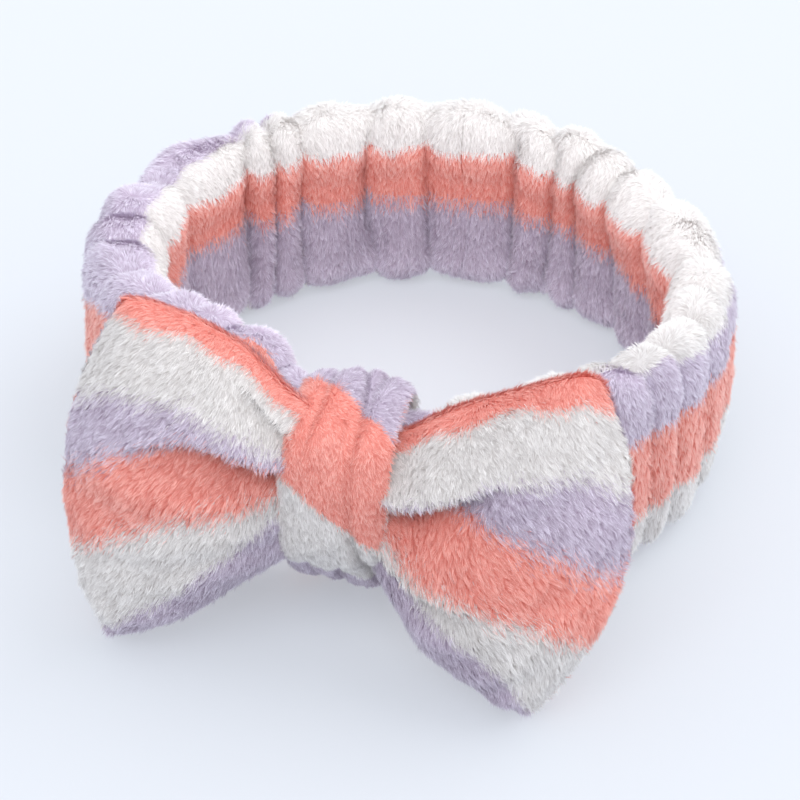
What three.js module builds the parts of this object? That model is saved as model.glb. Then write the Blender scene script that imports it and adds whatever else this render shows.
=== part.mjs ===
// Spa headband: a gathered fleece sleeve over an elastic band, closed by a knotted bow.
// Millimetres, +Z up. The bow faces -Y. The origin is on the resting surface, under the
// middle of the whole.
import * as THREE from 'three';

// Ring: the angle along it is 0 at the knot and grows anticlockwise seen from above.
const RING_RADIUS = 70.7;            // centreline of the sleeve, away from the knot
const RING_CENTRE_Y = 8.38;          // puts the origin under the middle of band and bow
const KNOT_PULL = 5.7;               // how far the knot draws the centreline inwards
const KNOT_SPREAD = 0.9;             // rad, half the stretch that the knot draws in
const KNOT_FLAT = 0.21;              // rad, half the evenly drawn stretch inside the knot
const GATHERS = 32;
const STEPS_PER_GATHER = 3;
const GATHER_SHARE = 0.09;           // swell of a gather, as a share of the half thickness

// Sleeve section
const HALF_THICKNESS = 10.6;
const HALF_HEIGHT = 28.9;
const KNOT_HALF_THICKNESS = 7.2;
const KNOT_HALF_HEIGHT = 23.6;
const KNOT_CENTRE_HEIGHT = 29.2;
const WALL = 4.0;                    // fleece with its pile
const ROUNDNESS = 2.8;               // superellipse exponent
const OUTER_POINTS = 20;
const INNER_POINTS = 12;
const CENTRE_HEIGHT = 27.9;          // the lowest strip is flattened onto the surface
const SEAM_GAP_ANGLE = 0.0108;       // rad, half the space that the closing seam fills
const SPLIT_GAP_ANGLE = 0.0024;      // rad, half the gap between front and back stretch

// Elastic
const ELASTIC_THICKNESS = 1.4;
const ELASTIC_HEIGHT = 34;
const LAP_LENGTH = 18;
const LAP_OFFSET = 1.0;              // each lapped end steps this far off the centreline
const THREAD = 0.8;
const SEAM_CLEARANCE = 1.35;         // the long seam's height over the hollow's lowest line

// Bow
const KNOT_HALF_WIDTH = 13;
const BOW_LEAN = 0.25;               // how far it leans back per unit of height
const PINCH_HALF_HEIGHT = 19;
const PINCH_HALF_THICKNESS = 4.8;
const PINCH_CLEARANCE = 2.2;         // lets a lobe swing clear of the bow's middle
const LOBE_HALF_THICKNESS = 11;
const LOBE_END_HALF_THICKNESS = 2.6;
const LOBE_GAP = 0.9;                // between the knot's edge and a lobe
const LOBE_LIFT = 0.6;               // lowest point over the resting surface
const LOBE_POINTS = 16;
const LOBE_STEPS = 12;
const PINCH_Y = -79.5;
const PINCH_Z = 31;
const LOBE_END_Y = -87;
const LOBES = {
  left: { side: -1, reach: 62, topReach: 49, bottomReach: 52, crown: 79 },
  right: { side: 1, reach: 64.5, topReach: 58, bottomReach: 49, crown: 75.5 },
};

// Knot wrap: a strip of fleece that closes round the bow's middle and the band.
const WRAP_THICKNESS = 3.6;
const WRAP_HALF_DEPTH = 18.2;
const WRAP_HALF_HEIGHT = 29;
const WRAP_Y = -70.3;
const WRAP_ROUNDNESS = 3.4;
const WRAP_POINTS = 36;
const WRAP_LIFT = 0.4;

const CORAL = 0xf28b82;
const LILAC = 0xc9c2e6;
const CREAM = 0xf7f3ee;
const ELASTIC_WHITE = 0xefeee8;
const THREAD_WHITE = 0xf4efe6;

const headband = new THREE.Group();
headband.position.y = RING_CENTRE_Y;

function add(name, geometry, color, roughness = 0.95) {
  const material = new THREE.MeshStandardMaterial({ color, roughness, metalness: 0 });
  const mesh = new THREE.Mesh(geometry, material);
  mesh.name = name;
  headband.add(mesh);
  return mesh;
}

// Signed power, which squares off a circle into a superellipse.
function squared(value, roundness) {
  return Math.sign(value) * Math.abs(value) ** (2 / roundness);
}

function superellipse(halfWidth, halfHeight, roundness, count) {
  return Array.from({ length: count }, (_, i) => {
    const angle = ((i + 0.5) / count) * 2 * Math.PI;
    return new THREE.Vector2(
      halfWidth * squared(Math.cos(angle), roundness),
      halfHeight * squared(Math.sin(angle), roundness),
    );
  });
}

// A closed band outline: an outer superellipse with an inner one as its hole.
function bandShape(outer, inner) {
  const shape = new THREE.Shape(outer);
  shape.holes.push(new THREE.Path(inner.slice().reverse()));
  return shape;
}

// Extrudes a section over a length of 1 and moves each vertex by a placing function,
// which gets the section's x and y and the share of the length.
function sweep(shape, steps, place) {
  const geometry = new THREE.ExtrudeGeometry(shape, {
    depth: 1,
    steps,
    bevelEnabled: false,
    curveSegments: 1,
  });
  const position = geometry.getAttribute('position');
  const vertex = new THREE.Vector3();
  for (let i = 0; i < position.count; i += 1) {
    vertex.fromBufferAttribute(position, i);
    const placed = place(vertex.x, vertex.y, vertex.z);
    position.setXYZ(i, placed.x, placed.y, placed.z);
  }
  geometry.computeVertexNormals();
  return geometry;
}

// 1 at the knot, falling smoothly to 0 where its pull ends.
function knotShare(angle) {
  const past = Math.max(Math.abs(angle) - KNOT_FLAT, 0) / (KNOT_SPREAD - KNOT_FLAT);
  return 0.5 + 0.5 * Math.cos(Math.min(past, 1) * Math.PI);
}

// A point beside the ring's centreline: inward of it by `inward` and up by `height`.
function onRing(angle, inward, height) {
  const radius = RING_RADIUS - KNOT_PULL * knotShare(angle) - inward;
  return new THREE.Vector3(radius * Math.sin(angle), -radius * Math.cos(angle), height);
}

// Places a sleeve vertex: the section narrows at the knot and swells with each gather.
function onSleeve(angle, x, y) {
  const knot = knotShare(angle);
  const narrow = THREE.MathUtils.lerp(1, KNOT_HALF_THICKNESS / HALF_THICKNESS, knot);
  const low = THREE.MathUtils.lerp(1, KNOT_HALF_HEIGHT / HALF_HEIGHT, knot);
  const rim = Math.abs(x / HALF_THICKNESS) ** ROUNDNESS + Math.abs(y / HALF_HEIGHT) ** ROUNDNESS;
  const swell = GATHER_SHARE * rim * Math.cos(GATHERS * angle);
  const centre = THREE.MathUtils.lerp(CENTRE_HEIGHT, KNOT_CENTRE_HEIGHT, knot);
  return onRing(angle, x * narrow * (1 + swell), Math.max(centre + y * low, 0));
}

function angleAlong(from, to) {
  return (share) => from + (to - from) * share;
}

function stepsBetween(from, to) {
  const gathers = ((to - from) / (2 * Math.PI)) * GATHERS;
  return Math.round(gathers * STEPS_PER_GATHER);
}

function sleeve(from, to) {
  const outer = superellipse(HALF_THICKNESS, HALF_HEIGHT, ROUNDNESS, OUTER_POINTS);
  const inner = superellipse(
    HALF_THICKNESS - WALL,
    HALF_HEIGHT - WALL,
    ROUNDNESS,
    INNER_POINTS,
  );
  const angle = angleAlong(from, to);
  return sweep(bandShape(outer, inner), stepsBetween(from, to), (x, y, share) =>
    onSleeve(angle(share), x, y));
}

// A strip that follows the ring. `stepOff` gives its distance inward of the centreline and
// `centre` its height, each at an angle.
function ringStrip(from, to, width, height, centre, stepOff = () => 0) {
  const shape = new THREE.Shape([
    new THREE.Vector2(-width / 2, -height / 2),
    new THREE.Vector2(width / 2, -height / 2),
    new THREE.Vector2(width / 2, height / 2),
    new THREE.Vector2(-width / 2, height / 2),
  ]);
  const angle = angleAlong(from, to);
  return sweep(shape, stepsBetween(from, to), (x, y, share) => {
    const at = angle(share);
    return onRing(at, x + stepOff(at), centre(at) + y);
  });
}

// An upright loop of thread round the ring's section, `depth` long along the ring.
function threadLoop(angle, halfWidth, halfHeight, roundness) {
  const outer = superellipse(halfWidth + THREAD, halfHeight + THREAD, roundness, OUTER_POINTS);
  const inner = superellipse(halfWidth, halfHeight, roundness, OUTER_POINTS);
  const along = THREAD / (RING_RADIUS - KNOT_PULL);
  return sweep(bandShape(outer, inner), 1, (x, y, share) =>
    onRing(angle + along * (share - 0.5), x, KNOT_CENTRE_HEIGHT + y));
}

// The band: sleeve, elastic and the seams that hold them.
function addBand() {
  const quarter = Math.PI / 2;
  const seam = SEAM_GAP_ANGLE;
  const split = SPLIT_GAP_ANGLE;
  const stretches = {
    front_left: [-quarter + split, -seam],
    front_right: [seam, quarter - split],
    back: [quarter + split, 3 * quarter - split],
  };
  const sleeveColours = { front_left: LILAC, front_right: CREAM, back: CORAL };
  for (const [name, [from, to]] of Object.entries(stretches)) {
    add(`sleeve_${name}`, sleeve(from, to), sleeveColours[name]);
  }

  const lap = LAP_LENGTH / 2 / (RING_RADIUS - KNOT_PULL);
  const stepOff = (sign) => (angle) => sign * LAP_OFFSET * knotShare(angle);
  const elastics = {
    front_left: [-quarter + split, lap, stepOff(1)],
    front_right: [-lap, quarter - split, stepOff(-1)],
    back: [quarter + split, 3 * quarter - split, stepOff(0)],
  };
  for (const [name, [from, to, off]] of Object.entries(elastics)) {
    add(
      `elastic_${name}`,
      ringStrip(from, to, ELASTIC_THICKNESS, ELASTIC_HEIGHT, () => KNOT_CENTRE_HEIGHT, off),
      ELASTIC_WHITE,
      0.8,
    );
  }

  const lapHalfWidth = LAP_OFFSET + ELASTIC_THICKNESS / 2 + 0.3;
  const lapHalfHeight = ELASTIC_HEIGHT / 2 + 0.4;
  for (const [name, angle] of [['left', -0.07], ['right', 0.07]]) {
    const loop = threadLoop(angle, lapHalfWidth, lapHalfHeight, 12);
    add(`elastic_lap_stitch_${name}`, loop, THREAD_WHITE, 0.7);
  }

  const closingSeam = threadLoop(
    0,
    KNOT_HALF_THICKNESS - WALL / 2,
    KNOT_HALF_HEIGHT - WALL / 2,
    ROUNDNESS,
  );
  add('sleeve_closing_seam', closingSeam, THREAD_WHITE, 0.7);

  const hollow = (HALF_HEIGHT - WALL) / HALF_HEIGHT;
  const seamHeight = (angle) => SEAM_CLEARANCE + THREE.MathUtils.lerp(
    CENTRE_HEIGHT - HALF_HEIGHT * hollow,
    KNOT_CENTRE_HEIGHT - KNOT_HALF_HEIGHT * hollow,
    knotShare(angle),
  );
  for (const [name, [from, to]] of Object.entries(stretches)) {
    const inset = name === 'back' ? 0 : 2 * seam;
    const start = name === 'front_right' ? from + inset : from;
    const end = name === 'front_left' ? to - inset : to;
    const line = ringStrip(start, end, 2 * THREAD, THREAD, seamHeight);
    add(`sleeve_long_seam_${name}`, line, THREAD_WHITE, 0.7);
  }
}

// One lobe of the bow, from the pinch at the knot to its folded outer end.
function addLobe(name, { side, reach, topReach, bottomReach, crown }) {
  const outline = superellipse(1, 1, 2.4, LOBE_POINTS);
  const endCentre = (crown + LOBE_LIFT) / 2;
  const endHalfHeight = (crown - LOBE_LIFT) / 2;
  const geometry = sweep(new THREE.Shape(outline), LOBE_STEPS, (x, y, share) => {
    const open = Math.sin((share * Math.PI) / 2) ** 0.8;
    const puff = Math.sin(Math.min(share * 1.15, 1) * Math.PI);
    const base = THREE.MathUtils.lerp(PINCH_HALF_THICKNESS, LOBE_END_HALF_THICKNESS, share);
    const thickness = base + (LOBE_HALF_THICKNESS - base) * puff;
    const halfHeight = THREE.MathUtils.lerp(PINCH_HALF_HEIGHT, endHalfHeight, open);
    const centre = THREE.MathUtils.lerp(PINCH_Z, endCentre, open);
    const tip = y > 0 ? topReach : bottomReach;
    const end = reach + (tip - reach) * y * y;
    const start = KNOT_HALF_WIDTH + LOBE_GAP;
    const height = centre + y * halfHeight;
    const middle = THREE.MathUtils.lerp(PINCH_Y, LOBE_END_Y, open);
    const lean = BOW_LEAN * (height - centre) * open;
    return new THREE.Vector3(
      side * (start + (end - start) * share),
      middle + lean + side * x * thickness,
      height,
    );
  });
  add(`bow_loop_${name}`, geometry, name === 'left' ? CREAM : CORAL);
}

// The pinched middle of the bow, with a waist for the thread that gathers it.
function addBowMiddle() {
  const halfLength = KNOT_HALF_WIDTH - PINCH_CLEARANCE;
  const waist = 0.9;
  const profile = [
    new THREE.Vector2(0, -halfLength),
    new THREE.Vector2(1, -halfLength),
    new THREE.Vector2(0.92, -waist - 1.5),
    new THREE.Vector2(0.72, -waist),
    new THREE.Vector2(0.72, waist),
    new THREE.Vector2(0.92, waist + 1.5),
    new THREE.Vector2(1, halfLength),
    new THREE.Vector2(0, halfLength),
  ];
  const middle = new THREE.LatheGeometry(profile, LOBE_POINTS);
  middle.rotateZ(-Math.PI / 2);
  middle.scale(1, PINCH_HALF_THICKNESS, PINCH_HALF_HEIGHT);
  const core = add('bow_centre', middle, CORAL);
  core.position.set(0, PINCH_Y, PINCH_Z);

  const thread = new THREE.TorusGeometry(0.8, 0.045, 6, 24);
  thread.rotateY(Math.PI / 2);
  thread.scale(12, PINCH_HALF_THICKNESS, PINCH_HALF_HEIGHT);
  const gather = add('bow_gather_thread', thread, THREAD_WHITE, 0.7);
  gather.position.copy(core.position);
}

// The strip round the bow and the band, its own seam and the stitches that tack it down.
function addKnot() {
  const outer = superellipse(WRAP_HALF_DEPTH, WRAP_HALF_HEIGHT, WRAP_ROUNDNESS, WRAP_POINTS);
  const inner = superellipse(
    WRAP_HALF_DEPTH - WRAP_THICKNESS,
    WRAP_HALF_HEIGHT - WRAP_THICKNESS,
    WRAP_ROUNDNESS,
    WRAP_POINTS,
  );
  const centre = WRAP_HALF_HEIGHT + WRAP_LIFT;
  const wrap = sweep(bandShape(outer, inner), 4, (x, y, share) => new THREE.Vector3(
    (share - 0.5) * 2 * KNOT_HALF_WIDTH,
    WRAP_Y + x,
    centre + y,
  ));
  add('knot_wrap', wrap, CREAM);

  const seamLength = 2 * KNOT_HALF_WIDTH - 4;
  const innerFace = WRAP_Y + WRAP_HALF_DEPTH;
  const seam = add('knot_wrap_seam', new THREE.BoxGeometry(seamLength, 1, 1), THREAD_WHITE, 0.7);
  seam.position.set(0, innerFace + 0.8, centre);

  const innerHalf = WRAP_HALF_HEIGHT - WRAP_THICKNESS;
  const tacks = {
    top: (KNOT_CENTRE_HEIGHT + KNOT_HALF_HEIGHT + centre + innerHalf) / 2,
    bottom: (KNOT_CENTRE_HEIGHT - KNOT_HALF_HEIGHT + centre - innerHalf) / 2,
  };
  for (const [name, height] of Object.entries(tacks)) {
    const bar = new THREE.BoxGeometry(KNOT_HALF_WIDTH, THREAD, THREAD);
    const tack = add(`knot_tack_${name}`, bar, THREAD_WHITE, 0.7);
    tack.position.set(0, KNOT_PULL - RING_RADIUS, height);
  }
}

addBand();
Object.entries(LOBES).forEach(([name, sizes]) => addLobe(name, sizes));
addBowMiddle();
addKnot();

export default headband;
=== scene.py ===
"""A spa headband of striped long-pile fleece: a gathered sleeve over elastic, closed by a bow."""
import logging
import math
from dataclasses import dataclass, field
from enum import Enum

import bpy
import numpy as np
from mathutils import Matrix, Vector


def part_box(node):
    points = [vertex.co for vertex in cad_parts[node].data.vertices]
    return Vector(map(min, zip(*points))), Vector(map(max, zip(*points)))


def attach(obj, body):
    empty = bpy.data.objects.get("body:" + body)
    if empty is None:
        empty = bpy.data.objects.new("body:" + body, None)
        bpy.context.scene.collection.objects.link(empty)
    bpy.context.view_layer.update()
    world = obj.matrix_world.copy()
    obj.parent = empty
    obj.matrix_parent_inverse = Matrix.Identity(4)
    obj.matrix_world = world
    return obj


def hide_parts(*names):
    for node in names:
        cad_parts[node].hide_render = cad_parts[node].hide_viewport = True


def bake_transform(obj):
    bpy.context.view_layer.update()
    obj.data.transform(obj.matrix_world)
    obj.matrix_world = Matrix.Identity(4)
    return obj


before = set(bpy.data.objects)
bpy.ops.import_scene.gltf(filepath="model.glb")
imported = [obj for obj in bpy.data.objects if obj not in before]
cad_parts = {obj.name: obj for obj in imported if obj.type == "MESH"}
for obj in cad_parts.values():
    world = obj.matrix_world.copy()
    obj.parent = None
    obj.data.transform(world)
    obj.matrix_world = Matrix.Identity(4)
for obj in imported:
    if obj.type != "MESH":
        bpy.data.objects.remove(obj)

LOG = logging.getLogger("headband")
MM = 0.001
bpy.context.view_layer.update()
BAKE_MAP = "OFBake"
MAP_MARGIN = 0.01
FIBRE_MARGIN = 0.02
TUFT_HABITS = 8192
TUFT_PRIMES = (73856093, 19349663)
TURN = 2 * math.pi

Colour = tuple[float, float, float]


class Stripe(Enum):
    """The fleece's colours, in the order in which they follow one another over the cloth."""

    CREAM = 0
    LILAC = 1
    CORAL = 2


# ---------------------------------------------------------------------------- small maths


def mix(a: float, b: float, share: np.ndarray | float) -> np.ndarray | float:
    """Returns the value a share of the way from a to b."""
    return a + (b - a) * share


def ease(share: np.ndarray) -> np.ndarray:
    """Returns a smooth step from 0 to 1, flat at both ends."""
    held = np.clip(share, 0.0, 1.0)
    return held * held * (3.0 - 2.0 * held)


def signed_power(value: np.ndarray, roundness: float) -> np.ndarray:
    """Squares a circle's sine or cosine off into that of a superellipse."""
    return np.sign(value) * np.abs(value) ** (2.0 / roundness)


def unit(vectors: np.ndarray) -> np.ndarray:
    """Returns the vectors of the last axis at length 1."""
    return vectors / np.maximum(np.linalg.norm(vectors, axis=-1, keepdims=True), 1e-12)


def bell(distance: np.ndarray, width: np.ndarray | float) -> np.ndarray:
    """Returns 1 at no distance, falling away smoothly over about a width."""
    return np.exp(-((distance / width) ** 2))


def from_knot(angle: np.ndarray) -> np.ndarray:
    """Returns an angle along the ring as its turn from the knot, half a turn at most each way."""
    return (angle + math.pi) % TURN - math.pi


def round_section(columns: int) -> np.ndarray:
    """Returns the angles of a section's columns, as one row."""
    return (np.arange(columns) + 0.5)[None, :] / columns * TURN


def ripple(along: np.ndarray, across: np.ndarray, waves: tuple[int, int],
           rng: np.random.Generator, count: int = 9) -> np.ndarray:
    """Makes a soft random field that closes on itself in both directions.

    Args:
        along: Share of the way along the cloth, 0 to 1.
        across: Share of the way across the cloth, 0 to 1.
        waves: The most waves along and across.
        rng: The source of its random phases.
        count: How many waves are added up.

    Returns:
        The field, about -1 to 1.
    """
    total = np.zeros(np.broadcast(along, across).shape)
    for _ in range(count):
        turns = rng.integers(1, waves[0] + 1) * along + rng.integers(0, waves[1] + 1) * across
        total += np.cos(TURN * turns + rng.uniform(0, TURN))
    return total / math.sqrt(count)


def smooth_through(stations: np.ndarray, shares: np.ndarray) -> np.ndarray:
    """Runs a smooth curve through rows of values that are evenly spaced.

    Args:
        stations: One row of values at each station.
        shares: Where the curve is wanted, 0 at the first station and 1 at the last.

    Returns:
        One row of values for each share.
    """
    last = len(stations) - 1
    padded = np.vstack([2 * stations[0] - stations[1], stations, 2 * stations[-1] - stations[-2]])
    place = np.clip(shares, 0, 1) * last
    cell = np.minimum(place.astype(int), last - 1)
    t = (place - cell)[:, None]
    a, b, c, d = (padded[cell + k] for k in range(4))
    square, cube = 2 * a - 5 * b + 4 * c - d, 3 * b - a - 3 * c + d
    return 0.5 * (2 * b + (c - a) * t + square * t**2 + cube * t**3)


def report(piece: bpy.types.Object) -> None:
    """Logs a finished piece and how many faces it has."""
    LOG.info("%s: %d faces", piece.name, len(piece.data.polygons))


# ---------------------------------------------------------------------------- materials


@dataclass(frozen=True)
class Tone:
    """The shader node group that tints a fleece fibre from a root in painted shade to its tip, and by
    Tone.
    """

    name: str = "fleece tone"
    tip_start: float = 0.35
    tip_reach: float = 0.9

    def group(self) -> bpy.types.NodeTree:
        """Returns the group, built the first time it is asked for."""
        found = bpy.data.node_groups.get(self.name)
        return found or self._build()

    def _build(self) -> bpy.types.NodeTree:
        """Builds the group: root to tip by Along, then lighter or darker by Tone, painted shade and
        glints included.

        Returns:
            The group.
        """
        tree = bpy.data.node_groups.new(self.name, "ShaderNodeTree")
        for label in ("Root", "Tip"):
            tree.interface.new_socket(label, in_out="INPUT", socket_type="NodeSocketColor")
        for label in ("Along", "Tone", "Contrast"):
            tree.interface.new_socket(label, in_out="INPUT", socket_type="NodeSocketFloat")
        tree.interface.new_socket("Color", in_out="OUTPUT", socket_type="NodeSocketColor")
        into = tree.nodes.new("NodeGroupInput")
        out = tree.nodes.new("NodeGroupOutput")
        blend = tree.nodes.new("ShaderNodeMix")
        blend.data_type = "RGBA"
        tree.links.new(into.outputs["Root"], blend.inputs[6])
        tree.links.new(into.outputs["Tip"], blend.inputs[7])
        opened = tree.nodes.new("ShaderNodeMath")
        opened.operation = "MULTIPLY"
        opened.use_clamp = True
        tree.links.new(into.outputs["Along"], opened.inputs[0])
        reached = self._line(tree, into.outputs["Tone"], self.tip_reach, self.tip_start)
        tree.links.new(reached, opened.inputs[1])
        tree.links.new(opened.outputs[0], blend.inputs["Factor"])
        swing = tree.nodes.new("ShaderNodeMath")
        swing.operation = "MULTIPLY_ADD"
        tree.links.new(self._line(tree, into.outputs["Tone"], 1.0, -1.0), swing.inputs[0])
        tree.links.new(into.outputs["Contrast"], swing.inputs[1])
        swing.inputs[2].default_value = 1.0
        scaled = tree.nodes.new("ShaderNodeVectorMath")
        scaled.operation = "SCALE"
        tree.links.new(blend.outputs[2], scaled.inputs[0])
        tree.links.new(swing.outputs[0], scaled.inputs["Scale"])
        tree.links.new(scaled.outputs[0], out.inputs["Color"])
        return tree

    @staticmethod
    def _line(tree: bpy.types.NodeTree, source: bpy.types.NodeSocket, slope: float,
              start: float) -> bpy.types.NodeSocket:
        """Adds a node that works out a slope times a source, plus a start.

        Args:
            tree: The group.
            source: What is multiplied.
            slope: What it is multiplied by.
            start: What is added.

        Returns:
            The node's output.
        """
        line = tree.nodes.new("ShaderNodeMath")
        line.operation = "MULTIPLY_ADD"
        line.inputs[1].default_value = slope
        line.inputs[2].default_value = start
        tree.links.new(source, line.inputs[0])
        return line.outputs[0]


def new_material(name: str, roughness: float,
                 specular: float) -> tuple[bpy.types.Material, bpy.types.Node]:
    """Makes a node material.

    Args:
        name: The material's name.
        roughness: How matt it is, 0 to 1.
        specular: How strongly it reflects, 0 to 1.

    Returns:
        The material and its Principled BSDF.
    """
    material = bpy.data.materials.new(name)
    material.use_nodes = True
    shader = material.node_tree.nodes["Principled BSDF"]
    shader.inputs["Roughness"].default_value = roughness
    shader.inputs["Specular IOR Level"].default_value = specular
    return material, shader


def place_tone(nodes: bpy.types.Nodes, root: Colour, tip: Colour,
               contrast: float = 0.0) -> bpy.types.Node:
    """Places the tone group in a material.

    Args:
        nodes: The material's nodes.
        root: The colour deep down, darkened as painted shade.
        tip: The colour on top.
        contrast: How far Tone lightens or darkens, from tuft to tuft and as painted shade and glints.

    Returns:
        The group's node.
    """
    tone = nodes.new("ShaderNodeGroup")
    tone.node_tree = Tone().group()
    tone.inputs["Root"].default_value = (*root, 1)
    tone.inputs["Tip"].default_value = (*tip, 1)
    tone.inputs["Contrast"].default_value = contrast
    return tone


def add_relief(material: bpy.types.Material, shader: bpy.types.Node, height: bpy.types.NodeSocket,
               depth: float, strength: float = 1.0) -> None:
    """Raises a material's surface by a pattern.

    Args:
        material: The material.
        shader: Its Principled BSDF.
        height: The pattern, 0 to 1.
        depth: How deep the pattern is, in metres.
        strength: How strongly it shows.
    """
    bump = material.node_tree.nodes.new("ShaderNodeBump")
    bump.inputs["Strength"].default_value = strength
    bump.inputs["Distance"].default_value = depth
    material.node_tree.links.new(height, bump.inputs["Height"])
    material.node_tree.links.new(bump.outputs["Normal"], shader.inputs["Normal"])


@dataclass(frozen=True)
class FleeceFinish:
    """One colour of fleece: its silky pile and the knitted backing that the pile grows from."""

    stripe: Stripe
    # root is the colour in painted shade deep in the pile; tip is the lit colour, paled by a painted
    # sheen
    root: Colour
    tip: Colour
    contrast: float
    sheen: float

    def pile(self) -> bpy.types.Material:
        """Makes the fibres' material. Their own map holds root to tip along, and tone across.

        Returns:
            The material.
        """
        name = f"pile_{self.stripe.name.lower()}"
        material, shader = new_material(name, roughness=0.55, specular=0.35)
        shader.inputs["Sheen Weight"].default_value = self.sheen
        shader.inputs["Sheen Roughness"].default_value = 0.5
        nodes, links = material.node_tree.nodes, material.node_tree.links
        where = nodes.new("ShaderNodeUVMap")
        where.uv_map = BAKE_MAP
        split = nodes.new("ShaderNodeSeparateXYZ")
        links.new(where.outputs["UV"], split.inputs[0])
        tone = place_tone(nodes, self.root, self.tip, self.contrast)
        links.new(split.outputs["X"], tone.inputs["Along"])
        links.new(split.outputs["Y"], tone.inputs["Tone"])
        links.new(tone.outputs["Color"], shader.inputs["Base Color"])
        return material

    def backing(self) -> bpy.types.Material:
        """Makes the knitted ground's material, mottled where tufts press together.

        Returns:
            The material.
        """
        name = f"backing_{self.stripe.name.lower()}"
        material, shader = new_material(name, roughness=0.95, specular=0.1)
        nodes, links = material.node_tree.nodes, material.node_tree.links
        mottle = nodes.new("ShaderNodeTexNoise")
        mottle.inputs["Scale"].default_value = 420.0
        mottle.inputs["Detail"].default_value = 3.0
        place = nodes.new("ShaderNodeTexCoord")
        links.new(place.outputs["Object"], mottle.inputs["Vector"])
        tone = place_tone(nodes, self.root, self.tip, self.contrast)
        # The backing sits partway from the root's painted shade to the tip colour; the mottle is random
        # tone.
        tone.inputs["Along"].default_value = 0.6
        links.new(mottle.outputs["Fac"], tone.inputs["Tone"])
        links.new(tone.outputs["Color"], shader.inputs["Base Color"])
        add_relief(material, shader, mottle.outputs["Fac"], depth=0.4 * MM, strength=0.5)
        return material


# Each stripe's root colour is painted shade deep in the pile, and its tip is paler with painted sheen.
FINISHES: dict[Stripe, FleeceFinish] = {
    Stripe.CREAM: FleeceFinish(Stripe.CREAM, (0.76, 0.71, 0.70), (0.97, 0.96, 0.955), 0.34, 0.15),
    Stripe.LILAC: FleeceFinish(Stripe.LILAC, (0.53, 0.39, 0.56), (0.86, 0.82, 0.93), 0.40, 0.15),
    Stripe.CORAL: FleeceFinish(Stripe.CORAL, (0.93, 0.17, 0.12), (1.0, 0.63, 0.56), 0.28, 0.12),
}


class Ribs(Enum):
    """The ways in which a finish's ribs run."""

    LEVEL = "Z"
    SLANTED = "DIAGONAL"


@dataclass(frozen=True)
class RibbedFinish:
    """Fine ribs, paler along their tops: the weft of a webbing or the twist of a thread."""

    name: str
    colour: Colour
    shadow: float
    ribs: Ribs
    per_metre: float
    roughness: float
    specular: float
    unevenness: float = 0.0
    relief: float = 0.0

    def material(self) -> bpy.types.Material:
        """Makes the finish's material the first time it is asked for.

        Returns:
            The material.
        """
        found = bpy.data.materials.get(self.name)
        if found:
            return found
        material, shader = new_material(self.name, self.roughness, self.specular)
        nodes, links = material.node_tree.nodes, material.node_tree.links
        place = nodes.new("ShaderNodeTexCoord")
        ribs = nodes.new("ShaderNodeTexWave")
        ribs.bands_direction = self.ribs.value
        ribs.inputs["Scale"].default_value = self.per_metre / TURN
        ribs.inputs["Distortion"].default_value = self.unevenness
        links.new(place.outputs["Object"], ribs.inputs["Vector"])
        tone = place_tone(nodes, tuple(self.shadow * part for part in self.colour), self.colour)
        tone.inputs["Tone"].default_value = 0.5
        links.new(ribs.outputs["Fac"], tone.inputs["Along"])
        links.new(tone.outputs["Color"], shader.inputs["Base Color"])
        if self.relief:
            add_relief(material, shader, ribs.outputs["Fac"], self.relief)
        return material


ELASTIC = RibbedFinish("woven_elastic", (0.80, 0.79, 0.75), shadow=0.7, ribs=Ribs.LEVEL, per_metre=900.0,
                       roughness=0.85, specular=0.2, unevenness=1.5, relief=0.2 * MM)
THREAD = RibbedFinish("sewing_thread", (0.84, 0.80, 0.75), shadow=0.6, ribs=Ribs.SLANTED,
                      per_metre=1400.0, roughness=0.6, specular=0.3)


# ---------------------------------------------------------------------------- cloth and pile


def grid_faces(rows: int, columns: int, open_columns: bool = False) -> tuple[np.ndarray, np.ndarray]:
    """Joins a grid of points into faces with four corners.

    Args:
        rows: The grid's rows.
        columns: The grid's columns.
        open_columns: Whether the last column stays apart from the first.

    Returns:
        Each face's corners as grid indices, and the row and column of its first corner.
    """
    across = np.arange(columns - 1 if open_columns else columns)
    row, column = (part.ravel() for part in np.meshgrid(np.arange(rows - 1), across, indexing="ij"))
    after = (column + 1) % columns
    corners = np.stack([row * columns + column, row * columns + after,
                        (row + 1) * columns + after, (row + 1) * columns + column], axis=1)
    return corners, np.stack([row, column], axis=1)


def grid_map(rows: int, columns: int) -> np.ndarray:
    """Spreads a grid of points over the bake map.

    Args:
        rows: The grid's rows.
        columns: The grid's columns.

    Returns:
        One place on the map for each point.
    """
    down, over = (np.linspace(MAP_MARGIN, 1 - MAP_MARGIN, count) for count in (rows, columns))
    return np.stack(np.meshgrid(down, over, indexing="ij"), axis=-1).reshape(-1, 2)


@dataclass
class Skin:
    """The outer face of a piece of fleece as a grid of points, with what its pile needs to grow.

    Rows run along the piece and columns run round it, and the columns close on themselves unless
    `open_columns` is set. The faces point away from the cloth's other side.
    """

    points: np.ndarray
    stripes: np.ndarray
    lay: np.ndarray | None = None
    pile: np.ndarray | None = None
    # painted shade for the pile: 1 where it lies open to light, less in creases and hollows
    shade: np.ndarray | None = None
    open_columns: bool = False

    def slopes(self) -> tuple[np.ndarray, np.ndarray]:
        """Works out how far the points are moved by each step over the grid.

        Returns:
            The change of place along the rows, and across the columns.
        """
        along = np.gradient(self.points, axis=0)
        if self.open_columns:
            return along, np.gradient(self.points, axis=1)
        return along, (np.roll(self.points, -1, 1) - np.roll(self.points, 1, 1)) / 2

    def normals(self) -> np.ndarray:
        """Returns the outward direction at each point."""
        along, across = self.slopes()
        return unit(np.cross(across, along))

    def quads(self) -> tuple[np.ndarray, np.ndarray]:
        """Returns each face's corners as grid indices, and the row and column of its first corner."""
        return grid_faces(*self.points.shape[:2], self.open_columns)


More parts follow.
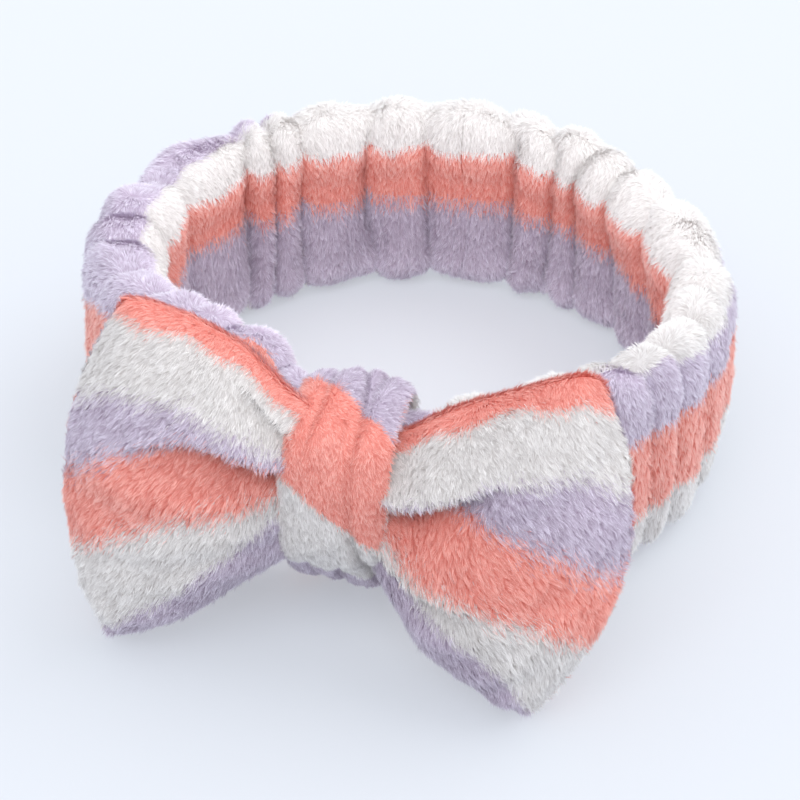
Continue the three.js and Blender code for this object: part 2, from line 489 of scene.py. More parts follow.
class MeshMaker:
    """Makes Blender objects from arrays."""

    @staticmethod
    def build(name: str, points: np.ndarray, faces: list[np.ndarray],
              face_uv: list[np.ndarray] | None, materials: list[bpy.types.Material],
              material_of: np.ndarray | None = None,
              normals: np.ndarray | None = None) -> bpy.types.Object:
        """Makes a smooth-shaded object.

        Args:
            name: The piece's name.
            points: Places of the vertices, in metres.
            faces: Groups of faces, each an array with one row of vertex indices for each face.
            face_uv: A place on the bake map for each corner, group by group, where there is one.
            materials: The piece's materials, in slot order.
            material_of: Each face's slot.
            normals: A shading direction for each vertex, where it isn't the mesh's own.

        Returns:
            The object, in the scene.
        """
        mesh = bpy.data.meshes.new(name)
        corners = np.concatenate([group.ravel() for group in faces]).astype(np.int32)
        sizes = np.concatenate([np.full(len(group), group.shape[1]) for group in faces])
        starts = np.concatenate([[0], np.cumsum(sizes)[:-1]]).astype(np.int32)
        mesh.vertices.add(len(points))
        mesh.vertices.foreach_set("co", points.astype(np.float32).ravel())
        mesh.loops.add(len(corners))
        mesh.loops.foreach_set("vertex_index", corners)
        mesh.polygons.add(len(sizes))
        mesh.polygons.foreach_set("loop_start", starts)
        for material in materials:
            mesh.materials.append(material)
        if material_of is not None:
            mesh.polygons.foreach_set("material_index", material_of.astype(np.int32))
        if face_uv is not None:
            layer = mesh.uv_layers.new(name=BAKE_MAP)
            spots = np.concatenate([group.reshape(-1, 2) for group in face_uv]).astype(np.float32)
            layer.data.foreach_set("uv", spots.ravel())
        mesh.update(calc_edges=True)
        mesh.polygons.foreach_set("use_smooth", np.ones(len(sizes), bool))
        if normals is not None:
            mesh.normals_split_custom_set_from_vertices(normals.astype(np.float32))
        piece = bpy.data.objects.new(name, mesh)
        bpy.context.scene.collection.objects.link(piece)
        return piece


@dataclass
class Backing:
    """The knitted ground under the pile: a thin cloth with an outer and an inner face."""

    skin: Skin
    thickness: float

    def build(self, name: str) -> bpy.types.Object:
        """Makes the closed two-sided cloth, with a material slot for each stripe.

        Args:
            name: The piece's name.

        Returns:
            The object.
        """
        skin = self.skin
        rows, columns = skin.points.shape[:2]
        outer = skin.points.reshape(-1, 3)
        inner = (skin.points - skin.normals() * self.thickness).reshape(-1, 3)
        corners, cells = skin.quads()
        count = rows * columns
        rims = self._rims(rows, columns, count)
        faces = np.vstack([corners, corners[:, ::-1] + count, rims])
        slots = skin.stripes[cells[:, 0], cells[:, 1]]
        rim_slots = skin.stripes.reshape(-1)[rims[:, 0] % count]
        spots = np.tile(grid_map(rows, columns), (2, 1))
        return MeshMaker.build(
            name, np.vstack([outer, inner]), [faces], [spots[faces]],
            [FINISHES[stripe].backing() for stripe in Stripe],
            np.concatenate([slots, slots, rim_slots]))

    def _rims(self, rows: int, columns: int, count: int) -> np.ndarray:
        """Joins the outer face to the inner one at the cloth's cut edges.

        Args:
            rows: The skin's rows.
            columns: The skin's columns.
            count: How many points the outer face has.

        Returns:
            The faces' corners.
        """
        ring = np.arange(columns - 1 if self.skin.open_columns else columns)
        after = (ring + 1) % columns
        last = (rows - 1) * columns
        ends = [np.stack([after, ring, ring + count, after + count], axis=1),
                np.stack([last + ring, last + after, last + after + count, last + ring + count], axis=1)]
        if self.skin.open_columns:
            side = np.arange(rows - 1) * columns
            far = side + columns - 1
            ends.append(np.stack([side, side + columns, side + columns + count, side + count], axis=1))
            ends.append(np.stack([far + columns, far, far + count, far + columns + count], axis=1))
        return np.vstack(ends)


@dataclass
class Pile:
    """Silky fibres in soft tufts, each a narrow tapering blade that curves along the cloth's nap."""

    per_square_mm: float
    width: float
    lean: float
    tuft: float
    mingle: float
    swing: float
    # How much paler a share of fibres is painted, as painted highlights (glints).
    painted_glint: float
    relief: float
    # The pile's painted light level: its tone where fully open to light; lower values paint a whole piece
    # in shade.
    painted_light_level: float
    gather: float = 0.35
    unruly: float = 0.13
    floor: float = 0.25 * MM
    planted: float = 0.3 * MM
    rising: float = 0.38
    lying: float = 0.65
    # The share of fibres that get a painted glint.
    painted_sparkle_share: float = 0.2

    def grow(self, name: str, skin: Skin, rng: np.random.Generator) -> list[bpy.types.Object]:
        """Grows the pile over a skin, one piece for each stripe.

        Args:
            name: The start of the pieces' names.
            skin: The cloth's outer face.
            rng: The source of every random choice.

        Returns:
            The pieces.
        """
        corners, cells = skin.quads()
        flat = skin.points.reshape(-1, 3)
        a, b, c, d = (flat[corners[:, k]] for k in range(4))
        area = np.linalg.norm(np.cross(c - a, d - b), axis=1) / 2
        density = self.per_square_mm * 1.0
        count = int(area.sum() / MM**2 * density)
        reached = (np.arange(count) + rng.random(count)) / count * area.sum()
        face = np.minimum(np.searchsorted(np.cumsum(area), reached), len(area) - 1)
        u, v = rng.random(count), rng.random(count)
        weights = np.stack([(1 - u) * (1 - v), (1 - u) * v, u * v, u * (1 - v)], axis=1)[..., None]

        def spread(values: np.ndarray) -> np.ndarray:
            """Returns a grid's values where the fibres stand."""
            return (values.reshape(len(flat), -1)[corners[face]] * weights).sum(1)

        root = spread(skin.points)
        normal = unit(spread(skin.normals()))
        lay = spread(skin.lay)
        lay = unit(lay - normal * (lay * normal).sum(1, keepdims=True))
        length = spread(skin.pile)
        along, across = skin.slopes()
        place = cells[face] + np.stack([u, v], axis=1)
        pull, habit, tone = self._tufts(place, spread(along), spread(across), rng)
        noise = rng.normal(size=(2, count, 3)) * self.unruly
        length = length * (0.82 + 0.3 * rng.random((count, 1)) + 0.12 * habit[:, 3:4])
        rising = unit(normal + lay * self.lean * 0.7 + noise[0] * 0.8 + habit[:, :3] * 0.10)
        lying = unit(normal * 0.28 + lay * self.lean + noise[1] + habit[:, :3] * 0.20)
        middle = root + rising * length * self.rising + pull * 0.4
        tip = middle + lying * length * self.lying + pull * 0.6
        root = root - normal * self.planted
        for points in (middle, tip):
            points[:, 2] = np.maximum(points[:, 2], self.floor * (1 + rng.random(count)))
        side = unit(np.cross(lying, normal) + rng.normal(size=(count, 3)) * 0.22)
        stripes = self._mingled(skin, place, along, across, rng)
        half = self.width / 2 * (0.7 + 0.6 * rng.random((count, 1)))
        # Each fibre's tone: painted shade from the skin's shade times the piece's painted light level,
        # the tuft's and fibre's own random tone, and painted glints on a share of fibres.
        open_to_light = spread(skin.shade)[:, 0]
        painted_glint = np.where(rng.random(count) < self.painted_sparkle_share, self.painted_glint, 0.0)
        tone = (open_to_light * self.painted_light_level + (tone - 0.5) + self.swing * rng.normal(size=count)
                + 0.04 + painted_glint)
        blades = Blades(root, middle, tip, side * half, normal, np.clip(tone, 0, 1), self.relief)
        pieces = []
        for stripe in Stripe:
            chosen = stripes == stripe.value
            if chosen.any():
                pieces.append(blades.only(chosen).build(f"{name}_{stripe.name.lower()}", stripe))
        return pieces

    def _mingled(self, skin: Skin, place: np.ndarray, along: np.ndarray, across: np.ndarray,
                 rng: np.random.Generator) -> np.ndarray:
        """Gives each fibre its stripe, letting neighbouring stripes run a little into each other.

        Args:
            skin: The cloth's outer face.
            place: Each fibre's row and column, with fractions.
            along: The change of place for one row, over the skin.
            across: The change of place for one column, over the skin.
            rng: The source of every random choice.

        Returns:
            The stripe's number for each fibre.
        """
        rows, columns = skin.stripes.shape
        steps = np.array([np.median(np.linalg.norm(slope, axis=-1)) for slope in (along, across)])
        moved = np.rint(place + rng.normal(size=place.shape) * self.mingle / steps).astype(np.int64)
        return skin.stripes[np.clip(moved[:, 0], 0, rows - 1), moved[:, 1] % columns]

    def _tufts(self, place: np.ndarray, along: np.ndarray, across: np.ndarray,
               rng: np.random.Generator) -> tuple[np.ndarray, np.ndarray, np.ndarray]:
        """Sorts fibres into tufts.

        Args:
            place: Each fibre's row and column, with fractions.
            along: The change of place for one row, at each fibre.
            across: The change of place for one column, at each fibre.
            rng: The source of every random choice.

        Returns:
            How far each fibre is drawn to its tuft's middle, its tuft's own habit, and its tuft's tone.
        """
        steps = np.array([np.median(np.linalg.norm(slope, axis=1)) for slope in (along, across)])
        size = self.tuft / np.maximum(steps, 1e-6)
        wobble = [np.sin(place[:, 1] / size[1] * 2.3), np.sin(place[:, 0] / size[0] * 2.9)]
        shifted = place / size + 0.32 * np.stack(wobble, axis=1)
        cell = np.floor(shifted).astype(np.int64)
        away = (shifted - cell - 0.5) * size
        table = rng.normal(size=(TUFT_HABITS, 5))
        key = (cell[:, 0] * TUFT_PRIMES[0] ^ cell[:, 1] * TUFT_PRIMES[1]) % len(table)
        pull = -self.gather * (away[:, :1] * along + away[:, 1:] * across)
        return pull, table[key, :4], 0.5 + 0.10 * table[key, 4]


@dataclass
class Blades:
    """Fibres as arrays: three points down each, half its width as a vector, and how it is shaded."""

    root: np.ndarray
    middle: np.ndarray
    tip: np.ndarray
    half: np.ndarray
    normal: np.ndarray
    tone: np.ndarray
    relief: float

    def only(self, chosen: np.ndarray) -> "Blades":
        """Returns the fibres that are chosen."""
        return Blades(*(getattr(self, part)[chosen] for part in
                        ("root", "middle", "tip", "half", "normal", "tone")), self.relief)

    def build(self, name: str, stripe: Stripe) -> bpy.types.Object:
        """Makes one object of the fibres, shaded mostly as the cloth under them is.

        Args:
            name: The piece's name.
            stripe: The fibres' colour.

        Returns:
            The object.
        """
        count = len(self.root)
        facing = unit(np.cross(self.half, self.tip - self.root))
        outward = np.sign((facing * self.normal).sum(1, keepdims=True) + 1e-9)
        facing, half = facing * outward, self.half * outward
        points = np.stack([self.root - half, self.root + half, self.middle - half * 0.85,
                           self.middle + half * 0.85, self.tip], axis=1).reshape(-1, 3)
        first = np.arange(count)[:, None] * 5
        lower = first + np.array([0, 1, 3, 2])
        upper = first + np.array([2, 3, 4])
        along = np.array([FIBRE_MARGIN, FIBRE_MARGIN, 0.5, 0.5, 1 - FIBRE_MARGIN])
        tone = self.tone[:, None] * (1 - 2 * FIBRE_MARGIN) + FIBRE_MARGIN
        spots = np.stack([np.tile(along, (count, 1)), np.repeat(tone, 5, 1)], axis=-1).reshape(-1, 2)
        shading = np.repeat(unit(self.normal + self.relief * facing), 5, axis=0)
        blades = MeshMaker.build(name, points, [lower, upper], [spots[lower], spots[upper]],
                                 [FINISHES[stripe].pile()], None, shading)
        # The fibres cast no shadows; their darker roots and the painted shade in creases stand in for it.
        blades.visible_shadow = False
        return blades


# ---------------------------------------------------------------------------- the band


@dataclass
class Ring:
    """The band's path, measured on the CAD sleeve. Its angles start at the knot, anticlockwise."""

    half_thickness: float = 10.6 * MM
    half_height: float = 28.4 * MM
    knot_pull: float = 5.7 * MM
    knot_spread: float = 0.9
    knot_flat: float = 0.21
    knot_narrow: float = 0.68
    knot_low: float = 0.82
    puffed: float = 1.08
    stretching: float = 42 * MM
    centre_y: float = field(init=False)
    radius: float = field(init=False)
    height: float = field(init=False)

    def __post_init__(self) -> None:
        """Reads the ring's middle and size from the back of the sleeve."""
        low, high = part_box("sleeve_back")
        self.centre_y = low[1]
        self.radius = high[0] - self.half_thickness * self.puffed
        self.height = high[2]

    def knot(self, angle: np.ndarray) -> np.ndarray:
        """Works out how strongly the knot draws the band in.

        Args:
            angle: Angle along the ring.

        Returns:
            1 inside the knot, falling smoothly to 0 where its pull ends.
        """
        turned = np.abs(from_knot(angle))
        past = np.clip((turned - self.knot_flat) / (self.knot_spread - self.knot_flat), 0, 1)
        return 0.5 + 0.5 * np.cos(past * math.pi)

    def place(self, angle: np.ndarray, inward: np.ndarray, height: np.ndarray) -> np.ndarray:
        """Places points beside the ring's centreline.

        Args:
            angle: Angle along the ring.
            inward: How far inward of the centreline, in metres.
            height: The height, in metres.

        Returns:
            The points.
        """
        radius = self.radius - self.knot_pull * self.knot(angle) - inward
        return np.stack([radius * np.sin(angle), self.centre_y - radius * np.cos(angle),
                         height + np.zeros_like(radius)], axis=-1)

    def stretch(self, piece: bpy.types.Object) -> None:
        """Bakes a piece's placement into its mesh."""
        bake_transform(piece)


@dataclass(frozen=True)
class Lean:
    """A stretch of the band that leans inwards or swells out, by its angle from the knot.

    `before` and `after` are how far it reaches on either side, and `depth` is in millimetres.
    """

    at: float
    before: float
    after: float
    depth: float

    def strength(self, turned: np.ndarray) -> np.ndarray:
        """Returns 1 at its middle, falling away on either side."""
        return bell(turned - self.at, np.where(turned < self.at, self.before, self.after))


RIM_LEANS = (Lean(-0.56, 0.56, 0.34, 16.5), Lean(0.62, 0.35, 0.35, 4.8), Lean(2.30, 0.50, 0.50, 5.0))
SIDE_SWELLING = Lean(-1.75, 0.70, 0.70, 5.0)


@dataclass
class Sleeve:
    """The gathered fleece tube round the head: one length of cloth whose ends meet under the knot."""

    ring: Ring
    rows: int = 900
    columns: int = 132
    pile_length: float = 2.0 * MM
    wall: float = 1.0 * MM
    roundness: float = 2.7
    gathers: int = 28
    inner_depth: float = 7.6 * MM
    outer_depth: float = 6.2 * MM
    rim_depth: float = 4.9 * MM
    core_inner: float = 0.9 * MM
    core_outer: float = 3.6 * MM
    hollow_inside: float = 0.24
    hollow_outside: float = 0.12
    lumpiness: float = 0.7 * MM
    eaves_drop: float = 4.6 * MM
    seam_gap: float = 0.012
    lengths: int = 6
    seed: int = 11

    def build(self) -> None:
        """Builds the cloth and its pile."""
        rng = np.random.default_rng(self.seed)
        skin = self._skin(rng)
        cloth = Backing(skin, self.wall).build("fleece_sleeve")
        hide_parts("sleeve_front_left", "sleeve_front_right", "sleeve_back")
        # The band's pile keeps a high painted light level.
        pile = Pile(per_square_mm=12.0, width=0.16 * MM, lean=0.9, tuft=1.1 * MM, mingle=0.6 * MM,
                    swing=0.07, painted_glint=0.25, relief=0.18, painted_light_level=0.72, unruly=0.09)
        pieces = [cloth]
        marks = np.linspace(0, len(skin.points) - 1, self.lengths + 1).astype(int)
        for number, (first, last) in enumerate(zip(marks, marks[1:]), start=1):
            part = slice(first, last + 1)
            length = Skin(skin.points[part], skin.stripes[part], skin.lay[part], skin.pile[part],
                          skin.shade[part])
            pieces += pile.grow(f"sleeve_pile_{number}", length, rng)
        for piece in pieces:
            self.ring.stretch(piece)
            report(piece)

    def _skin(self, rng: np.random.Generator) -> Skin:
        """Shapes the tube: its section, the gathers, the rolled rim, the stripes and painted shade.

        Args:
            rng: The source of every random choice.

        Returns:
            The cloth's outer face.
        """
        ring = self.ring
        angle = np.linspace(self.seam_gap, TURN - self.seam_gap, self.rows)[:, None]
        turn = round_section(self.columns)
        inward, upward = np.cos(turn), np.sin(turn)
        knot = ring.knot(angle)
        proud = self.pile_length * 0.75
        half_thickness = (ring.half_thickness - proud) * mix(1, ring.knot_narrow, knot)
        half_height = (ring.half_height - proud) * mix(1, ring.knot_low, knot)
        z = half_height * signed_power(upward, self.roundness)
        level = z / half_height
        hollow = ease((0.70 - level) / 0.42) * ease((level + 1.0) / 0.45)
        waist = 1 - np.where(inward > 0, self.hollow_inside, self.hollow_outside) * hollow
        x = half_thickness * signed_power(inward, self.roundness) * waist
        nx = signed_power(inward, 1.3) / half_thickness
        nz = signed_power(upward, 1.3) / half_height
        size = np.hypot(nx, nz)
        nx, nz = nx / size, nz / size
        sink, puff = self._gathers(angle, turn, rng)
        lumps = self.lumpiness * ripple(angle / TURN, turn / TURN, (26, 3), rng)
        offset = lumps - sink * mix(1, 0.75, knot)
        beside = ease((0.82 - np.abs(level)) / 0.15)
        x = x + nx * offset
        x = np.where(inward > 0, np.maximum(x, self.core_inner * beside),
                     np.minimum(x, -self.core_outer * beside))
        x = x + self.leaning(angle, level, inward)
        height = ring.height / 2 + z + nz * offset
        eaves = np.clip(inward, 0, 1) * bell(level - 0.5, 0.28)
        height = height - self.eaves_drop * eaves * (puff - 0.55)
        height = np.maximum(height, proud * 0.45)
        points = ring.place(angle + 0 * turn, x, height)
        level_off = np.zeros(x.shape)
        down = np.stack([level_off, level_off, level_off - np.abs(inward)], axis=-1)
        out = unit(points * [1, 1, 0] - np.array([0, ring.centre_y, 0]))
        ahead = np.stack([np.cos(angle) + level_off, np.sin(angle) + level_off, level_off], axis=-1)
        stray = 0.25 * ripple(angle / TURN, turn / TURN, (30, 4), rng)[..., None]
        lay = down - out * (inward * upward)[..., None] * 0.9 + stray * ahead
        pile = np.full(points.shape[:2], self.pile_length)
        # Painted shade for the pile: darker in the creases between puffs, most on the inner side, and in
        # the hollow of the inner wall.
        shade = 1 - ease((0.50 - puff) / 0.50) * (0.45 + 0.55 * np.clip(inward, 0, 1))
        shade = shade * (1 - 0.48 * np.clip(inward, 0, 1) * hollow)
        stripes = self._stripes(angle, turn, half_thickness, half_height, puff)
        return Skin(points, stripes, lay, pile, shade)

    @staticmethod
    def leaning(angle: np.ndarray, level: np.ndarray, inward: np.ndarray | float) -> np.ndarray:
        """Rolls the rim inwards left of the knot, and puffs the band's outer side further round.

        Args:
            angle: Angle along the ring, a column.
            level: Height in the section, -1 to 1.
            inward: Positive on the inner side.

        Returns:
            How far inward each point is moved, in metres.
        """
        turned = from_knot(angle)
        top = ease((level + 0.35) / 1.1)
        moved = 0.0
        for lean in RIM_LEANS:
            moved = moved + lean.depth * lean.strength(turned) * top
        swollen = SIDE_SWELLING.depth * SIDE_SWELLING.strength(turned)
        return (moved - swollen * np.where(inward < 0, 1, 0.35) * ease(level + 0.9)) * MM

    def _gathers(self, angle: np.ndarray, turn: np.ndarray,
                 rng: np.random.Generator) -> tuple[np.ndarray, np.ndarray]:
        """Works out how far the cloth sinks between its puffs.

        Args:
            angle: Angle along the ring, a column.
            turn: Angle round the section, a row.
            rng: The source of every random choice.

        Returns:
            The depth at each point of the grid, and 0 to 1 from a crease to the middle of a puff.
        """
        inner = 0.5 + 0.5 * np.cos(turn)
        rim = np.abs(np.sin(turn)) ** 3
        drift = 0.028 * ripple(angle / TURN, turn / TURN, (9, 2), rng)
        drift = drift + 0.012 * ripple(angle / TURN, turn / TURN, (22, 3), rng)
        total, main = 0.0, 1.0
        for count, share in ((self.gathers, 1.0), (self.gathers * 2 + 5, 0.10)):
            gaps = 1 + 0.5 * rng.uniform(-1, 1, count)
            creases = np.concatenate([[0], np.cumsum(gaps)]) / gaps.sum() * TURN
            along = np.clip(angle + drift, 0, TURN - 1e-6)
            cell = np.clip(np.searchsorted(creases, along, side="right") - 1, 0, count - 1)
            t = (along - creases[cell]) / (creases[cell + 1] - creases[cell])
            puff = mix(np.clip(1 - np.abs(2 * t - 1) ** 3.0, 0, 1) ** 0.5,
                       np.clip(1 - np.abs(2 * t - 1) ** 2.0, 0, 1) ** 0.85, rim)
            strong_inside = rng.uniform(0.65, 1.0, count + 1)
            strong_outside = rng.choice([0.25, 0.6, 1.0], count + 1) * rng.uniform(0.8, 1.1, count + 1)
            held = mix(mix(strong_outside[cell], strong_outside[cell + 1], t),
                       mix(strong_inside[cell], strong_inside[cell + 1], t), inner)
            total = total + share * held * (1 - puff)
            if share == 1.0:
                main = 1 - held * (1 - puff)
        depth = mix(mix(self.outer_depth, self.inner_depth, inner), self.rim_depth, rim)
        return depth * total, main

    def _stripes(self, angle: np.ndarray, turn: np.ndarray, half_thickness: np.ndarray,
                 half_height: np.ndarray, puff: np.ndarray) -> np.ndarray:
        """Colours the cloth by its distance round the section from the rim's top, positive inside.

        Args:
            angle: Angle along the ring, a column.
            turn: Angle round the section, a row.
            half_thickness: Half the section's thickness.
            half_height: Half the section's height.
            puff: 0 to 1 from a crease to the middle of a puff.

        Returns:
            The stripe's number at each point of the grid.
        """
        turned = from_knot(angle)
        x = half_thickness * signed_power(np.cos(turn), self.roundness)
        z = half_height * signed_power(np.sin(turn), self.roundness)
        step = np.hypot(*(np.diff(part, axis=1, append=part[:, :1]) for part in (x, z)))
        run = np.cumsum(step, axis=1) - step
        top = run[:, [self.columns // 4]]
        round_it = step.sum(axis=1, keepdims=True)
        inside = (top - run + round_it / 2) % round_it - round_it / 2
        around = inside / round_it
        twist = 0.145 * ease((turned + 1.9) / 1.3) * ease((0.42 - turned) / 0.3)
        slant = 0.05 * (1 - angle / math.pi)
        reach = 0.08 * bell(turned - 0.85, 0.30)
        spread = reach + 0.10 * ease((turned + 2.9) / 0.9) * (1 - ease((turned + 1.9) / 1.3))
        apart = 0.9 * (spread - reach)
        edges = ((-0.335, -apart, Stripe.CORAL), (-0.165, -apart, Stripe.LILAC),
                 (-0.075, spread, Stripe.CREAM), (0.110, 0, Stripe.CORAL), (0.25, slant, Stripe.LILAC),
                 (0.48, 0, Stripe.CREAM))
        wave = 0.004 * np.sin(angle * 31 + np.sin(angle * 7) * 2) - 0.012 * (puff - 0.7)
        place = (around - twist + wave + 0.5) % 1 - 0.5
        stripes = np.where(place < -0.46, Stripe.LILAC.value, Stripe.CREAM.value)
        for limit, moved, stripe in edges:
            stripes = np.where(place > limit + moved, stripe.value, stripes)
        return stripes


@dataclass
class ElasticBand:
    """The woven elastic inside the sleeve, lapped under the knot, with the sleeve's lengthwise seam."""

    ring: Ring
    height: float = 34 * MM
    thickness: float = 1.4 * MM
    lap_angle: float = 0.14
    lap_offset: float = 1.0 * MM
    set_back: float = 1.6 * MM
    middle: float = 29.2 * MM
    levels: int = 9
    stitches: int = 150
    stitch_share: float = 0.8
    seam_start: float = 0.05
    seam_low: float = 4.6 * MM
    seam_low_at_knot: float = 10.3 * MM
    thread_radius: float = 0.3 * MM
    stitch_arch: float = 0.35 * MM

    def build(self) -> None:
        """Builds the strip and the row of stitches."""
        band = self._strip()
        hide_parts("elastic_front_left", "elastic_front_right", "elastic_back")
        seam = self._seam()
        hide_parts("sleeve_long_seam_front_left", "sleeve_long_seam_front_right",
                    "sleeve_long_seam_back")
        for piece in (band, seam):
            self.ring.stretch(piece)
            report(piece)

    def _strip(self) -> bpy.types.Object:
        """Makes the lapped strip as one closed mesh.

        Returns:
            The strip.
        """
        ring = self.ring
        angle = np.linspace(-self.lap_angle, TURN + self.lap_angle, 240)[:, None]
        share = (angle + self.lap_angle) / (TURN + 2 * self.lap_angle)
        step = self.lap_offset * np.cos(share * math.pi)
        climb = np.linspace(-0.5, 0.5, self.levels)
        rise = np.concatenate([climb, climb[::-1]])[None, :]
        half = np.repeat([0.5, -0.5], len(climb))[None, :]
        height = self.middle + rise * self.height + 0 * angle
        lean = Sleeve.leaning(angle, (height - ring.height / 2) / ring.half_height, 1.0)
        lean = lean - self.set_back * (1 - ring.knot(angle))
        points = ring.place(angle + 0 * half, step + half * self.thickness + lean, height)
        corners, _ = grid_faces(*points.shape[:2])
        loop = np.arange(rise.size)
        ends = np.stack([loop[::-1], (len(angle) - 1) * rise.size + loop])
        return MeshMaker.build("elastic_band", points.reshape(-1, 3), [corners, ends], None,
                               [ELASTIC.material()])

    def _seam(self) -> bpy.types.Object:
        """Makes the lengthwise seam as one row of stitches along the bottom of the hollow.

        Returns:
            The stitches.
        """
        ring = self.ring
        turns = np.linspace(0, TURN, 7)[:-1]
        share = np.linspace(0, 1, 5)[:, None]
        radius = self.thread_radius * np.sqrt(np.clip(1 - (2 * share - 1) ** 4, 0.04, 1))
        arch = self.stitch_arch * np.sin(share * math.pi)
        run = TURN - 2 * self.seam_start
        length = run / self.stitches * self.stitch_share
        corners, _ = grid_faces(len(share), len(turns))
        rows, faces = [], []
        for k in range(self.stitches):
            angle = self.seam_start + run * k / self.stitches + share * length + 0 * turns
            low = mix(self.seam_low, self.seam_low_at_knot, ring.knot(angle))
            points = ring.place(angle, radius * np.cos(turns), low + arch + radius * np.sin(turns))
            rows.append(points.reshape(-1, 3))
            faces.append(corners + k * angle.size)
        return MeshMaker.build("sleeve_seam_stitches", np.vstack(rows), [np.vstack(faces)], None,
                               [THREAD.material()])


# ---------------------------------------------------------------------------- the bow


@dataclass(frozen=True)
class Station:
    """One upright section of a bow loop, in millimetres, going outwards from the knot.

    `out` is its distance from the knot's middle, `top` and `bottom` are its heights, `top_y` and
    `bottom_y` how far forward its two edges stand, `front` and `back` how far its faces puff,
    `bulge` how far its middle stands out beyond its ends, and `foot` how far out its foot is moved.
    `bounds` are the stripes' edges down the front, as shares of its height.
    """

    out: float
    top: float
    bottom: float
    top_y: float
    bottom_y: float
    front: float
    back: float
    bounds: tuple[float, float, float, float, float]
    bulge: float = 0.0
    foot: float = 0.0


@dataclass(frozen=True)
class Fold:
    """A crease in a loop's front that runs out from the knot and dies away.

    `line` holds its heights from the knot to where it dies, as shares down from the top, and
    `reach` is the share of the loop that it crosses. `lip` is how far the cloth above it swells
    and `droop` how far that hangs over, and `sunk` how deep the cloth below lies, in millimetres.
    `above`, `below` and `edge` are how far the lip, the hollow and the turn between them spread.
    """

    line: tuple[float, ...]
    reach: float
    lip: float
    droop: float
    sunk: float
    above: float
    below: float
    edge: float = 0.02


